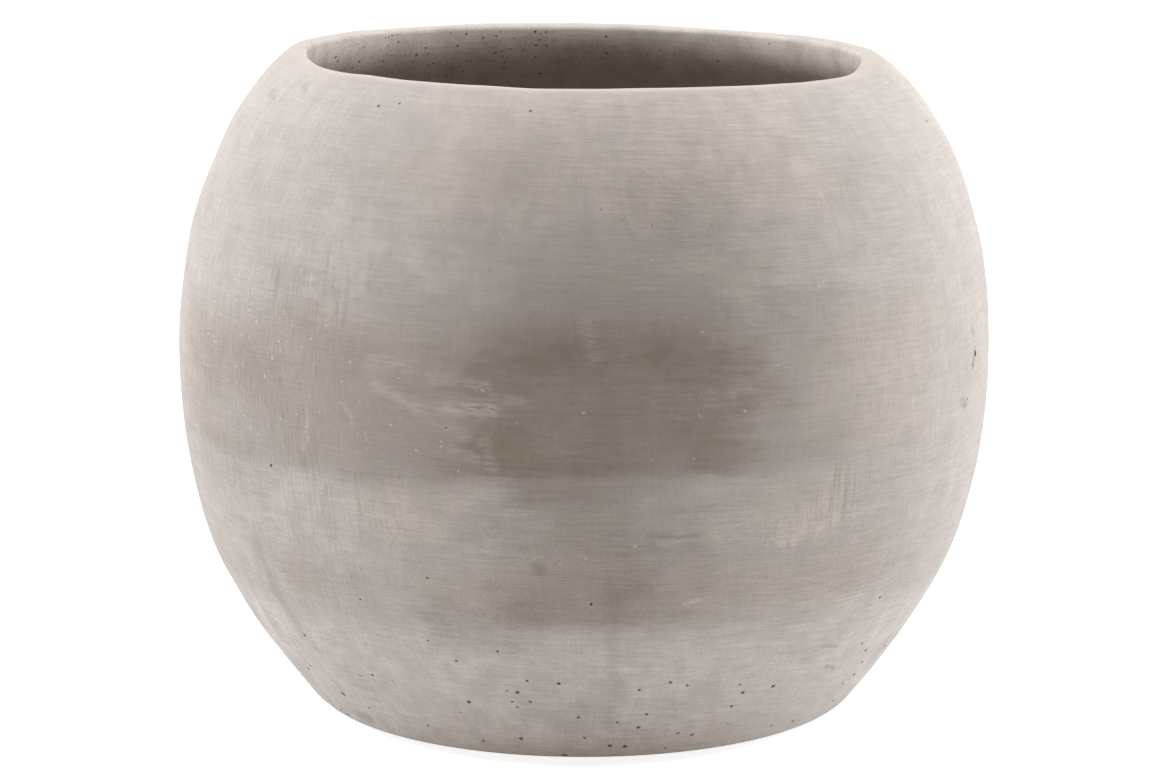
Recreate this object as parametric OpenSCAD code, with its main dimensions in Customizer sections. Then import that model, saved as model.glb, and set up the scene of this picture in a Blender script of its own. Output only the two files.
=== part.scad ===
// Bowl planter cast in fibre cement: a squat globe with an in-turned rim and a flat base.
// It stands on four stuck-on pads, and a rubber plug closes the drain hole from inside.
// Millimetres, +Z up. The origin is on the floor, at the centre of the base.

/* [Bowl outside] */
// Diameter at the widest point of the belly
belly_d = 460; // [440:2:480]
// Height of the widest point above the base
belly_z = 205; // [190:1:220]
// Height of the concrete, from its base to the top of the rim
bowl_h = 372; // [355:1:385]
// Diameter where the flank would meet the base if its edge were sharp
base_d = 303; // [280:1:320]
// Lean of the flank from the vertical, just above the base
flank_angle = 37.5; // [32:0.5:42]
// Radius of the rounded edge between flank and base
base_edge_r = 19; // [6:1:28]
// How far the flank keeps its lean before it curves up into the belly
flank_pull = 67; // [45:1:80]
// Fullness of the belly below its widest point
belly_pull_low = 103; // [80:1:115]
// Fullness of the belly above its widest point
belly_pull_high = 65; // [50:1:80]
// How far the shoulder keeps its lean before it reaches the rim
shoulder_pull = 50; // [35:1:65]
// Lean of the shoulder from the vertical, at the rim
shoulder_angle = 52.5; // [46:0.5:58]

/* [Bowl inside] */
// Thickness of the wall
wall = 14; // [12:0.5:18]
// Thickness of the floor, above the base
floor_t = 22; // [18:1:30]
// Radius of the hollow where the wall meets the floor
hollow_edge_r = 34; // [15:1:45]

/* [Rim] */
// Diameter of the mouth
mouth_d = 310; // [296:1:320]
// Width of the rim, from the mouth to where the shoulder would meet it if its edge were sharp
rim_w = 10.5; // [9:0.5:13]
// Rounding of the rim's outer edge
rim_outer_r = 8; // [3:0.5:10]
// Rounding of the rim's inner edge
rim_inner_r = 4; // [2:0.5:5]
// Rounding under the lip, where the hollow runs back from the mouth
lip_under_r = 5; // [2:0.5:8]

/* [Underside] */
// Diameter of the shallow recess in the underside
recess_d = 176; // [140:1:190]
// Depth of the recess
recess_depth = 3; // [1:0.5:6]
// Width of the recess's sloping edge
recess_run = 5; // [2:0.5:10]

/* [Drain] */
// Diameter of the drain hole
drain_d = 24; // [20:1:32]
// Gap between the plug's sealing ribs and the hole, on each side
plug_clearance = 0.1; // [0.05:0.05:0.3]
// How far the ribs stand out of the plug's shank
rib_h = 0.7; // [0.3:0.1:1.5]
// Number of sealing ribs
rib_count = 3; // [1:1:4]
// Width of each rib where it leaves the shank
rib_w = 2; // [1:0.5:2.5]
// How far the shank stops short of the hole's lower end
plug_short = 1; // [0.5:0.5:4]
// Wall of the hollow shank
shank_wall = 4; // [2.5:0.5:5]
// Width of the flange beyond the hole, on each side
flange_over = 10; // [7:1:16]
// Thickness of the flange
flange_t = 4; // [3:0.5:6]
// Diameter of the neck that carries the grip
neck_d = 12; // [9:0.5:13]
// Diameter of the grip on top of the plug
grip_d = 18; // [15:1:22]
// Thickness of the grip
grip_t = 6; // [4:0.5:8]
// Height of the neck between flange and grip
neck_h = 7; // [5:0.5:12]

/* [Pads] */
// Number of pads under the base
pad_count = 4; // [3:1:8]
// Diameter of each pad
pad_d = 34; // [24:1:40]
// Thickness of each pad
pad_t = 3; // [2:0.5:6]
// Bevel round each pad's lower edge
pad_bevel = 0.8; // [0.2:0.1:1.5]

/* [Hidden] */
$fn = 180;
long_steps = 22;       // straight pieces in each half of the belly's outline
edge_steps = 8;        // straight pieces in each rounded edge
over = 1;              // how far a cutter runs past what it cuts
bowl_z = pad_t;        // the concrete stands on the pads

// Points along an arc, from one angle to another.
function arc(centre, r, from, to) = [
    for (i = [0:edge_steps])
        let (a = from + (to - from) * i / edge_steps)
            centre + r * [cos(a), sin(a)]
];

// A curve with four control points, its direction, and the curve that lies inset inside it.
function curve_at(p, t) =
    pow(1 - t, 3) * p[0] + 3 * pow(1 - t, 2) * t * p[1]
    + 3 * (1 - t) * t * t * p[2] + pow(t, 3) * p[3];
function curve_slope(p, t) =
    pow(1 - t, 2) * (p[1] - p[0]) + 2 * (1 - t) * t * (p[2] - p[1]) + t * t * (p[3] - p[2]);
function curve_way(p, t) = curve_slope(p, t) / norm(curve_slope(p, t));
function inset_at(p, inset, t) = curve_at(p, t) + inset * [-curve_way(p, t)[1], curve_way(p, t)[0]];
function inset_points(p, inset, last) = [
    for (i = [0:long_steps]) inset_at(p, inset, last * i / long_steps)
];

// Where the inset curve reaches radius x, found by halving.
function t_at_radius(p, inset, x, low = 0, high = 1.5, tries = 30) =
    tries == 0 ? (low + high) / 2
    : inset_at(p, inset, (low + high) / 2)[0] > x
        ? t_at_radius(p, inset, x, (low + high) / 2, high, tries - 1)
        : t_at_radius(p, inset, x, low, (low + high) / 2, tries - 1);

// Length from a sharp corner to where a rounding of radius r starts, for a surface at this lean.
function edge_run(r, lean) = r * tan((90 - lean) / 2);

// Outside of the bowl, above its base: flank and shoulder meet upright at the belly.
belly = [belly_d / 2, belly_z];
flank_way = [sin(flank_angle), cos(flank_angle)];
base_run = edge_run(base_edge_r, flank_angle);
flank_start = [base_d / 2, 0] + base_run * flank_way;
flank = [flank_start, flank_start + flank_pull * flank_way, belly - [0, belly_pull_low], belly];

mouth_r = mouth_d / 2;
rim_corner = [mouth_r + rim_w, bowl_h];
shoulder_way = [-sin(shoulder_angle), cos(shoulder_angle)];
rim_run = rim_outer_r * tan((90 - shoulder_angle) / 2);
shoulder_end = rim_corner - rim_run * shoulder_way;
shoulder = [
    belly,
    belly + [0, belly_pull_high],
    shoulder_end - shoulder_pull * shoulder_way,
    shoulder_end
];

// The hollow is the outside moved in by the wall. Its lower edge rounds into the floor.
hollow_start = inset_at(flank, wall, 0);
hollow_corner = hollow_start + (floor_t - hollow_start[1]) / flank_way[1] * flank_way;
hollow_run = edge_run(hollow_edge_r, flank_angle);
hollow_low = hollow_corner[1] + hollow_run * flank_way[1];

// The rounding under the lip touches both the hollow and the mouth.
lip_t = t_at_radius(shoulder, wall - lip_under_r, mouth_r + lip_under_r);
lip_centre = inset_at(shoulder, wall - lip_under_r, lip_t);
lip_way = curve_way(shoulder, lip_t);
lip_angle = 90 + atan2(lip_way[1], lip_way[0]);

// The plug, in heights above the base of the concrete.
drain_r = drain_d / 2;
rib_r = drain_r - plug_clearance;
shank_r = rib_r - rib_h;
shank_low = recess_depth + plug_short;
rib_pitch = (floor_t - shank_low) / (rib_count + 1);
flange_r = drain_r + flange_over;
flange_top = floor_t + flange_t;
neck_top = flange_top + neck_h;
grip_top = neck_top + grip_t;

// The pads sit midway between the recess and where the base's edge starts to rise.
pad_ring_r = (recess_d / 2 + base_d / 2 - base_run) / 2;
function pad_angle(i) = 360 * (i + 0.5) / pad_count;

// The wall, floor and rim of the bowl in section, anticlockwise from the middle of the underside.
module bowl_section() {
    underside = [
        [0, recess_depth],
        [recess_d / 2 - recess_run, recess_depth],
        [recess_d / 2, 0]
    ];
    base_edge = arc([base_d / 2 - base_run, base_edge_r], base_edge_r, -90, -flank_angle);
    rim_outer_edge = arc(rim_corner - [rim_run, rim_outer_r], rim_outer_r, shoulder_angle, 90);
    rim_inner_edge = arc([mouth_r + rim_inner_r, bowl_h - rim_inner_r], rim_inner_r, 90, 180);
    lip_edge = arc(lip_centre, lip_under_r, 180, lip_angle);
    hollow_high = inset_points(shoulder, wall, lip_t);
    hollow_flank = [for (p = inset_points(flank, wall, 1)) if (p[1] > hollow_low) p];
    hollow_edge = arc([hollow_corner[0] - hollow_run, floor_t + hollow_edge_r], hollow_edge_r,
        -flank_angle, -90);
    polygon(concat(
        underside,
        base_edge,
        inset_points(flank, 0, 1),
        inset_points(shoulder, 0, 1),
        rim_outer_edge,
        rim_inner_edge,
        lip_edge,
        [for (i = [long_steps:-1:1]) hollow_high[i]],
        [for (i = [len(hollow_flank) - 1:-1:0]) hollow_flank[i]],
        hollow_edge,
        [[0, floor_t]]
    ));
}

// The cast concrete bowl, in one piece, with its drain hole.
module bowl() {
    color([0.74, 0.71, 0.68])
    translate([0, 0, bowl_z])
    difference() {
        rotate_extrude() bowl_section();
        translate([0, 0, -over]) cylinder(h = floor_t + 2 * over, d = drain_d);
    }
}

// Hollow shank, sealing ribs, flange, neck and grip of the plug in section.
module plug_section() {
    ribs = [
        for (i = [1:rib_count])
            let (z = shank_low + i * rib_pitch)
                each [[shank_r, z - rib_w / 2], [rib_r, z], [shank_r, z + rib_w / 2]]
    ];
    flange_round = flange_t / 2;
    grip_round = grip_t / 2;
    polygon(concat(
        [[0, floor_t], [shank_r - shank_wall, floor_t], [shank_r - shank_wall, shank_low]],
        [[shank_r, shank_low]],
        ribs,
        [[shank_r, floor_t], [flange_r, floor_t]],
        arc([flange_r - flange_round, flange_top - flange_round], flange_round, 0, 90),
        [[neck_d / 2, flange_top], [neck_d / 2, neck_top]],
        arc([grip_d / 2 - grip_round, neck_top + grip_round], grip_round, -90, 90),
        [[0, grip_top]]
    ));
}

// The rubber plug: its flange lies on the floor of the bowl.
module drain_plug() {
    color([0.12, 0.12, 0.12])
    translate([0, 0, bowl_z])
    rotate_extrude() plug_section();
}

// One pad, stuck flat on the underside of the base.
module foot_pad(i) {
    color([0.16, 0.16, 0.17])
    rotate([0, 0, pad_angle(i)])
    translate([pad_ring_r, 0, 0])
    rotate_extrude()
    polygon([
        [0, 0],
        [pad_d / 2 - pad_bevel, 0],
        [pad_d / 2, pad_bevel],
        [pad_d / 2, pad_t],
        [0, pad_t]
    ]);
}

bowl();
drain_plug();
for (i = [1:pad_count]) {
    foot_pad(i - 1);
}
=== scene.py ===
# %% [markdown]
# # A concrete bowl planter
#
# The planter is a squat globe of hand-laid fibre cement, about 460 mm across. It stands on
# four stick-on pads, and a rubber plug closes the drain hole in its floor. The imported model
# gives every piece its size and place. This script dresses it: a wall with the small
# unevenness of hand work, air bubbles, brush marks and stains, and soft light in a white studio.

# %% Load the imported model
import math
import random

import bpy
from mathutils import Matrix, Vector
from mathutils.geometry import interpolate_bezier


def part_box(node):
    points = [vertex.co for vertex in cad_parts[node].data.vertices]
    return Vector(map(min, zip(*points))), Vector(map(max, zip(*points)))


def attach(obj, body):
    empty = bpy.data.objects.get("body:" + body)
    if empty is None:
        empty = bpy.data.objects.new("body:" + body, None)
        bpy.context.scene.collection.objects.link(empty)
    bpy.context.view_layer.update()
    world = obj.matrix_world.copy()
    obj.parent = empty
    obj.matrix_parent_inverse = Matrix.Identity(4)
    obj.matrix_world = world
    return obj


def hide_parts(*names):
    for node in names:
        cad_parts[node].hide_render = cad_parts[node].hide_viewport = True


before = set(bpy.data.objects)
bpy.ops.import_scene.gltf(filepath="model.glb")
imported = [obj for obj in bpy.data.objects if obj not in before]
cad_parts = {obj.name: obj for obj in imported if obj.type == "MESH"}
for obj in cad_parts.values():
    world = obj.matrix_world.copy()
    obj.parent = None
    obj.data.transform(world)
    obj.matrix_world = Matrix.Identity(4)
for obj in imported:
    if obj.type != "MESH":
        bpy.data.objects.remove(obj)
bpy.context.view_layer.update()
print("nodes:", sorted(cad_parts))


# %% Helpers for edit mode
def deselect():
    """Leave edit mode and select nothing, so that the next operator acts on what we choose."""
    if bpy.context.object and bpy.context.object.mode != "OBJECT":
        bpy.ops.object.mode_set(mode="OBJECT")
    bpy.ops.object.select_all(action="DESELECT")


def activate(piece):
    deselect()
    piece.select_set(True)
    bpy.context.view_layer.objects.active = piece


def edit_all(piece):
    """Go to edit mode with the whole piece selected."""
    activate(piece)
    bpy.ops.object.mode_set(mode="EDIT")
    bpy.ops.mesh.select_all(action="SELECT")


def copy_of(piece):
    """A copy with a mesh of its own."""
    copy = piece.copy()
    copy.data = piece.data.copy()
    bpy.context.scene.collection.objects.link(copy)
    return copy


def apply_modifier(piece, kind, **settings):
    """Add a modifier, set it up and apply it, as with Ctrl+A in the stack."""
    activate(piece)
    modifier = piece.modifiers.new(kind.title(), kind)
    for name, value in settings.items():
        setattr(modifier, name, value)
    bpy.ops.object.modifier_apply(modifier=modifier.name)


# %% [markdown]
# ## Camera
#
# The widest point of the bowl looks straight from the side, but the mouth shows as a thin
# ellipse and the base as a rounder one. That only fits a camera about two metres away,
# a little above the rim, with a long lens. We tilt it down and leave the shift at zero.

# %% Camera
PHOTO_WIDTH = 1168          # pixels
FOCAL_LENGTH = 3738         # pixels
CAMERA_DISTANCE = 2.1       # from the bowl's axis
CAMERA_HEIGHT = 0.577
CAMERA_TILT = 10.76         # degrees down

camera_data = bpy.data.cameras.new("camera")
camera_data.sensor_width = 36
camera_data.lens = FOCAL_LENGTH / PHOTO_WIDTH * camera_data.sensor_width
camera = bpy.data.objects.new("camera", camera_data)
camera.location = (0, -CAMERA_DISTANCE, CAMERA_HEIGHT)
camera.rotation_euler = (math.radians(90 - CAMERA_TILT), 0, 0)
bpy.context.scene.collection.objects.link(camera)
bpy.context.scene.camera = camera
print("lens: %.1f mm" % camera_data.lens)

# %% [markdown]
# ## Light
#
# The bowl is bright at its sides and dull in the middle, so its light comes from soft boxes
# at the left and right, from one above, and from the white table under it, which glows
# a little. The side of the camera is dark. Area lamps as large as the soft boxes give the
# same slow fall-off, and no lamp is so strong that pale concrete turns white.

# %% Light
LAMP_SIZE = 1.6
LAMP_AIM = Vector((0, 0, 0.2))


def soft_box(name, location, power):
    """A square lamp that faces the middle of the bowl."""
    light = bpy.data.lights.new(name, "AREA")
    light.size = LAMP_SIZE
    light.energy = power
    lamp = bpy.data.objects.new(name, light)
    lamp.location = location
    lamp.rotation_euler = (LAMP_AIM - lamp.location).to_track_quat("-Z", "Y").to_euler()
    bpy.context.scene.collection.objects.link(lamp)


soft_box("left high", (-1.4, 0.2, 1.4), 26)
soft_box("left low", (-1.7, 0.0, 0.5), 8)
soft_box("right high", (1.4, 0.2, 1.4), 14)
soft_box("right low", (1.7, 0.35, 0.5), 24)
soft_box("above", (0, 0, 1.9), 17)
bpy.context.scene.view_settings.view_transform = "Standard"


# %% Helpers for node trees and materials
class Nodes:
    """Adds nodes to one tree. What feeds a socket is a number, a colour or an output.

    A kind of node is named without the ShaderNode that every such name starts with.
    """

    def __init__(self, tree):
        self.tree = tree

    def feed(self, socket, value):
        if isinstance(value, bpy.types.NodeSocket):
            self.tree.links.new(value, socket)
        else:
            socket.default_value = value

    def add(self, kind, values=None, out=0, **settings):
        """A new node, set up and fed. Gives back one of its outputs."""
        node = self.tree.nodes.new("ShaderNode" + kind)
        for name, value in settings.items():
            setattr(node, name, value)
        for socket, value in (values or {}).items():
            self.feed(node.inputs[socket], value)
        return node.outputs[out]

    def group(self, tree, values):
        """A node group, fed. Gives back all its outputs."""
        node = self.tree.nodes.new("ShaderNodeGroup")
        node.node_tree = tree
        for socket, value in values.items():
            self.feed(node.inputs[socket], value)
        return node.outputs

    def coordinates(self):
        return self.tree.nodes.new("ShaderNodeTexCoord").outputs

    def math(self, operation, *values):
        return self.add("Math", dict(enumerate(values)), operation=operation)

    def times(self, first, second):
        return self.math("MULTIPLY", first, second)

    def times_plus(self, value, factor, more):
        return self.math("MULTIPLY_ADD", value, factor, more)

    def clamp(self, value):
        """A value held between 0 and 1."""
        return self.add("Clamp", {"Value": value})

    def vector(self, operation, *values, out=0):
        return self.add("VectorMath", dict(enumerate(values)), out, operation=operation)

    def scaled(self, vector, factor):
        return self.add("VectorMath", {0: vector, 3: factor}, operation="SCALE")

    def fade(self, value, start, end):
        """From 0 at start to 1 at end, with no corner at either."""
        return self.add("MapRange", {"Value": value, "From Min": start, "From Max": end},
                        interpolation_type="SMOOTHSTEP", clamp=False)

    def mix(self, share, first, second, way="MIX"):
        """A mix of two colours. FACTOR, A and B are sockets 0, 6 and 7 of a colour mix."""
        return self.add("Mix", {0: share, 6: first, 7: second}, 2,
                        data_type="RGBA", blend_type=way)

    def noise(self, place, size, detail=3.0, roughness=0.55):
        return self.add("TexNoise", {"Vector": place, "Scale": 1 / size, "Detail": detail,
                                     "Roughness": roughness})


def new_material(name):
    """A material, its nodes and the inputs of its Principled BSDF."""
    made = bpy.data.materials.new(name)
    made.use_nodes = True
    return made, Nodes(made.node_tree), made.node_tree.nodes["Principled BSDF"].inputs


# %% [markdown]
# ## Floor and background
#
# Behind the bowl everything is plain white. A wide floor fills the picture, because the
# camera looks down on it. Only for rays from the camera, or ones that glass or metal would
# send on, the floor adds a white of its own to the light that falls on it. The bowl so
# keeps a faint shadow where it stands, and the white throws no extra light on it.


# %% Floor and background
def for_camera(nodes):
    """1 where the camera looks straight, or by way of gloss or glass, and 0 elsewhere."""
    path = nodes.tree.nodes.new("ShaderNodeLightPath").outputs
    seen = nodes.math("MAXIMUM", path["Is Camera Ray"], path["Is Glossy Ray"])
    return nodes.math("MAXIMUM", seen, path["Is Transmission Ray"])


FLOOR_SIZE = 40
FLOOR_COLOUR = (0.85, 0.85, 0.85, 1)
FLOOR_WHITE = 0.83          # what the floor adds for the camera, close to the bowl
WHITE_FROM, WHITE_TO = 0.3, 1.2     # it rises to 1 between these distances
TABLE_GLOW = 0.10           # what it adds for the bowl
WORLD_FILL = 0.05

deselect()
bpy.ops.mesh.primitive_plane_add(size=FLOOR_SIZE, location=(0, 0, 0))
floor = bpy.context.object
floor.name = "floor"
table, nodes, paint = new_material("white table")
paint["Base Color"].default_value = FLOOR_COLOUR
paint["Roughness"].default_value = 1
paint["Specular IOR Level"].default_value = 0
paint["Emission Color"].default_value = (1, 1, 1, 1)
distance = nodes.vector("LENGTH", nodes.coordinates()["Object"], out=1)
far = nodes.fade(distance, WHITE_FROM, WHITE_TO)
white = nodes.times_plus(far, 1 - FLOOR_WHITE, FLOOR_WHITE)
glow = nodes.math("SUBTRACT", white, TABLE_GLOW)
nodes.feed(paint["Emission Strength"], nodes.times_plus(for_camera(nodes), glow, TABLE_GLOW))
floor.data.materials.append(table)

world = bpy.data.worlds.new("studio")
world.use_nodes = True
bpy.context.scene.world = world
nodes = Nodes(world.node_tree)
sky = world.node_tree.nodes["Background"].inputs
sky["Color"].default_value = (1, 1, 1, 1)
nodes.feed(sky["Strength"],
           nodes.times_plus(for_camera(nodes), 1 - WORLD_FILL, WORLD_FILL))

# %% [markdown]
# ## The bowl
#
# The real bowl is laid up by hand in a mould: a wall of one thickness that runs from the
# flat base over the belly to an in-turned rim. Its section is one closed outline, so we
# draw that outline once, half in the plane of X and Z, and turn it round the Z axis.
# Drawing it means extruding a vertex from point to point, as with the E key. The long
# stretches are Bezier curves and the edges are arcs, which keeps the points even.

# %% Points along curves
def bezier(start, pull_out, pull_in, end, steps):
    """Points on a curve from start to end."""
    return interpolate_bezier(start, pull_out, pull_in, end, steps + 1)


def arc(centre_x, centre_z, radius, start, end, steps):
    """Points on an arc, between two angles in degrees."""
    turns = [math.radians(start + (end - start) * i / steps) for i in range(steps + 1)]
    return [Vector((centre_x + radius * math.cos(a), 0, centre_z + radius * math.sin(a)))
            for a in turns]


def line(start_x, start_z, end_x, end_z, steps):
    start, end = Vector((start_x, 0, start_z)), Vector((end_x, 0, end_z))
    return [start.lerp(end, i / steps) for i in range(steps + 1)]


def moved_in(points, depth):
    """The same curve, moved to the left of the way it runs."""
    moved = []
    for i, point in enumerate(points):
        way = points[min(i + 1, len(points) - 1)] - points[max(i - 1, 0)]
        moved.append(point + depth * Vector((-way.z, 0, way.x)).normalized())
    return moved


# %% Driving sizes of the section
bowl_low, bowl_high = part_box("bowl")
BELLY_R = bowl_high.x
BASE_Z = bowl_low.z
RIM_Z = bowl_high.z
WALL = 0.014
BELLY_Z = BASE_Z + 0.205
BASE_R = 0.1515
BASE_EDGE_R = 0.019
FLANK_LEAN = math.radians(37.5)
SHOULDER_LEAN = math.radians(52.5)
MOUTH_R = 0.155
RIM_WIDTH = 0.0105
RIM_OUTER_R = 0.008
RIM_INNER_R = 0.0035
LIP_DEPTH = 0.040           # below the rim the lip has run back into the wall
FLOOR_Z = BASE_Z + 0.022
HOLLOW_EDGE_R = 0.034
RECESS_R = 0.088
RECESS_Z = BASE_Z + 0.003
RECESS_SLOPE = 0.005
DRAIN_R = 0.012
FLANK_PULL = 0.067          # how far each curve is pulled out of its end, like a handle
BELLY_PULL_LOW = 0.103
BELLY_PULL_HIGH = 0.065
SHOULDER_PULL = 0.050
LIP_DROP = 0.021
LIP_PULL = 0.015
print("bowl: radius %.3f, from %.3f to %.3f" % (BELLY_R, BASE_Z, RIM_Z))

# %% Outside of the section
up_flank = Vector((math.sin(FLANK_LEAN), 0, math.cos(FLANK_LEAN)))
up_shoulder = Vector((-math.sin(SHOULDER_LEAN), 0, math.cos(SHOULDER_LEAN)))
base_run = BASE_EDGE_R * math.tan((math.pi / 2 - FLANK_LEAN) / 2)
rim_run = RIM_OUTER_R * math.tan((math.pi / 2 - SHOULDER_LEAN) / 2)
flank_start = Vector((BASE_R, 0, BASE_Z)) + base_run * up_flank
shoulder_end = Vector((MOUTH_R + RIM_WIDTH, 0, RIM_Z)) - rim_run * up_shoulder
belly = Vector((BELLY_R, 0, BELLY_Z))

flank = bezier(flank_start, flank_start + FLANK_PULL * up_flank,
               belly - Vector((0, 0, BELLY_PULL_LOW)), belly, 56)
shoulder = bezier(belly, belly + Vector((0, 0, BELLY_PULL_HIGH)),
                  shoulder_end - SHOULDER_PULL * up_shoulder, shoulder_end, 52)
outside = flank + shoulder[1:]

# %% Inside of the section, and the whole outline
inner = moved_in(outside, WALL)
hollow_run = HOLLOW_EDGE_R * math.tan((math.pi / 2 - FLANK_LEAN) / 2)
hollow_floor_r = inner[0].x + (FLOOR_Z - inner[0].z) * math.tan(FLANK_LEAN) - hollow_run
hollow_low = FLOOR_Z + hollow_run * math.cos(FLANK_LEAN)
hollow = [p for p in inner[::2] if hollow_low < p.z < RIM_Z - LIP_DEPTH]

lip_top = Vector((MOUTH_R, 0, RIM_Z - RIM_INNER_R))
lip_way = (hollow[-1] - hollow[-2]).normalized()
lip = bezier(lip_top, lip_top - Vector((0, 0, LIP_DROP)), hollow[-1] + LIP_PULL * lip_way,
             hollow[-1], 14)

outline = (
    line(DRAIN_R, RECESS_Z, RECESS_R - RECESS_SLOPE, RECESS_Z, 10)
    + line(RECESS_R, BASE_Z, BASE_R - base_run, BASE_Z, 8)
    + arc(BASE_R - base_run, BASE_Z + BASE_EDGE_R, BASE_EDGE_R, -90, -math.degrees(FLANK_LEAN), 7)
    + outside
    + arc(MOUTH_R + RIM_WIDTH - rim_run, RIM_Z - RIM_OUTER_R, RIM_OUTER_R,
          math.degrees(SHOULDER_LEAN), 90, 5)
    + arc(MOUTH_R + RIM_INNER_R, RIM_Z - RIM_INNER_R, RIM_INNER_R, 90, 180, 6)
    + lip[1:-1] + hollow[::-1]
    + arc(hollow_floor_r, FLOOR_Z + HOLLOW_EDGE_R, HOLLOW_EDGE_R, -math.degrees(FLANK_LEAN), -90, 9)
    + line(hollow_floor_r, FLOOR_Z, DRAIN_R, FLOOR_Z, 24)
)
print("points in the outline:", len(outline))


# %% Draw an outline and turn it
SAME_PLACE = 0.00001


def turned(name, points, steps, closed=True):
    """Draw an outline by extruding a vertex, then turn it round the Z axis."""
    deselect()
    bpy.ops.mesh.primitive_plane_add(size=0.001, location=points[0])
    piece = bpy.context.object
    piece.name = name
    bpy.ops.object.transform_apply()
    edit_all(piece)
    bpy.ops.mesh.merge(type="CENTER")
    for start, end in zip(points, points[1:] + points[:1] if closed else points[1:]):
        bpy.ops.mesh.extrude_vertices_move(TRANSFORM_OT_translate={"value": end - start})
    bpy.ops.mesh.select_all(action="SELECT")
    bpy.ops.mesh.remove_doubles(threshold=SAME_PLACE)
    apply_modifier(piece, "SCREW", steps=steps, render_steps=steps, use_merge_vertices=True,
                   merge_threshold=SAME_PLACE)
    edit_all(piece)
    bpy.ops.mesh.remove_doubles(threshold=SAME_PLACE)
    bpy.ops.mesh.normals_make_consistent(inside=False)
    deselect()
    print(name, "has", len(piece.data.polygons), "faces")
    return piece


bowl = turned("concrete_bowl", outline, 300)

# %% [markdown]
# ## The hand of the maker
#
# The form so far is perfect, and the real bowl isn't. Its rim was trued by hand: it drops
# to the right and dips at the front. One shoulder is flatter than the other, and the left
# flank is full. Proportional editing moves such places as a hand would, with the wall
# round them following less and less. Two Displace modifiers then give the wall the
# slow waves of the mould and the small ones of the trowel. A vertex group keeps them off the
# underside, the floor inside and the drain hole, which have to fit other pieces.


# %% Select by place
def select_where(piece, test):
    """Go to edit mode with the vertices selected whose place passes a test."""
    activate(piece)
    bpy.ops.object.mode_set(mode="EDIT")
    bpy.ops.mesh.select_mode(type="VERT")
    bpy.ops.mesh.select_all(action="DESELECT")
    bpy.ops.object.mode_set(mode="OBJECT")
    for vertex in piece.data.vertices:
        vertex.select = test(vertex.co)
    bpy.ops.object.mode_set(mode="EDIT")


# %% Rim, trued by hand
RIM_LEAN = math.radians(0.85)
LEAN_REACH = 0.12
RIM_BAND = 0.012            # how deep the rim is taken hold of
FRONT_ARC = 64              # degrees to each side
FRONT_BAND = 0.016
FRONT_DIP = 0.0050
FRONT_REACH = 0.08
BY_HAND = {"use_proportional_edit": True, "proportional_edit_falloff": "SMOOTH"}
rim_left = (-MOUTH_R - RIM_WIDTH, 0, RIM_Z)


def front_of_rim(place):
    turn = math.degrees(math.atan2(place.x, -place.y))
    return place.z > RIM_Z - FRONT_BAND and abs(turn) < FRONT_ARC


select_where(bowl, lambda place: place.z > RIM_Z - RIM_BAND)
bpy.ops.transform.rotate(value=-RIM_LEAN, orient_axis="Y", center_override=rim_left,
                         proportional_size=LEAN_REACH, **BY_HAND)
select_where(bowl, front_of_rim)
bpy.ops.transform.translate(value=(0, 0, -FRONT_DIP), proportional_size=FRONT_REACH, **BY_HAND)
deselect()

# %% Shoulders and flanks, pushed by hand
MM = 1000                   # the tables of places are in millimetres
PUSHED = 0.018              # the radius of a place that is pushed


def outwards(angle):
    """The level way out of the bowl, at an angle in degrees from the front."""
    turn = math.radians(angle)
    return Vector((math.sin(turn), -math.cos(turn), 0))


def wall_at(angle, height):
    """Where a level ray from outside meets the wall, and the way out."""
    out = outwards(angle)
    return bowl.ray_cast(out + Vector((0, 0, height / MM)), -out)[1], out


def push(angle, height, move, reach):
    """Move a place on the wall outwards, and what lies within reach less and less."""
    middle, out = wall_at(angle, height)
    select_where(bowl, lambda place: (place - middle).length < PUSHED)
    bpy.ops.transform.translate(value=out * move / MM, proportional_size=reach / MM, **BY_HAND)
    deselect()


push(-88, 334, -2.2, 48)    # the left shoulder is flatter
push(90, 338, 1.8, 55)      # and the right one fuller
push(-90, 74, 2.3, 62)      # the flanks are full, the left one
push(-90, 28, 2.6, 52)      # down to the foot
push(90, 78, 0.9, 50)


# %% Where the wall may move
UNDERSIDE_R = BASE_R - 0.016
HAND_RISE = 0.02            # the hand work sets in over this height


def hand_reach(place):
    """0 on the faces that fit other pieces, 1 on the wall."""
    outer = math.hypot(place.x, place.y) > UNDERSIDE_R
    rise = (place.z - (BASE_Z if outer else FLOOR_Z)) / HAND_RISE
    rise = min(max(rise, 0), 1)
    return rise * rise * (3 - 2 * rise)


reach = bowl.vertex_groups.new(name="hand work")
for vertex in bowl.data.vertices:
    reach.add([vertex.index], hand_reach(vertex.co), "REPLACE")


# %% Waves of the mould and of the trowel
def uneven(name, size, depth):
    cloud = bpy.data.textures.new(name, "CLOUDS")
    cloud.noise_scale = size
    apply_modifier(bowl, "DISPLACE", texture=cloud, texture_coords="LOCAL", strength=depth,
                   mid_level=0.5, vertex_group=reach.name)


uneven("mould waves", 0.11, 0.0022)
uneven("trowel waves", 0.03, 0.0006)


# %% Back to size
def reach_of(piece):
    """The largest distance to a side from the middle, and the top."""
    return (max(max(abs(v.co.x), abs(v.co.y)) for v in piece.data.vertices),
            max(v.co.z for v in piece.data.vertices))


widest, top = reach_of(bowl)
slim = BELLY_R / widest
edit_all(bowl)
bpy.ops.transform.resize(value=(slim, slim, (RIM_Z - BASE_Z) / (top - BASE_Z)),
                         center_override=(0, 0, BASE_Z))
deselect()
print("back to size: half the width %.4f, top %.4f" % reach_of(bowl))

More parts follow.
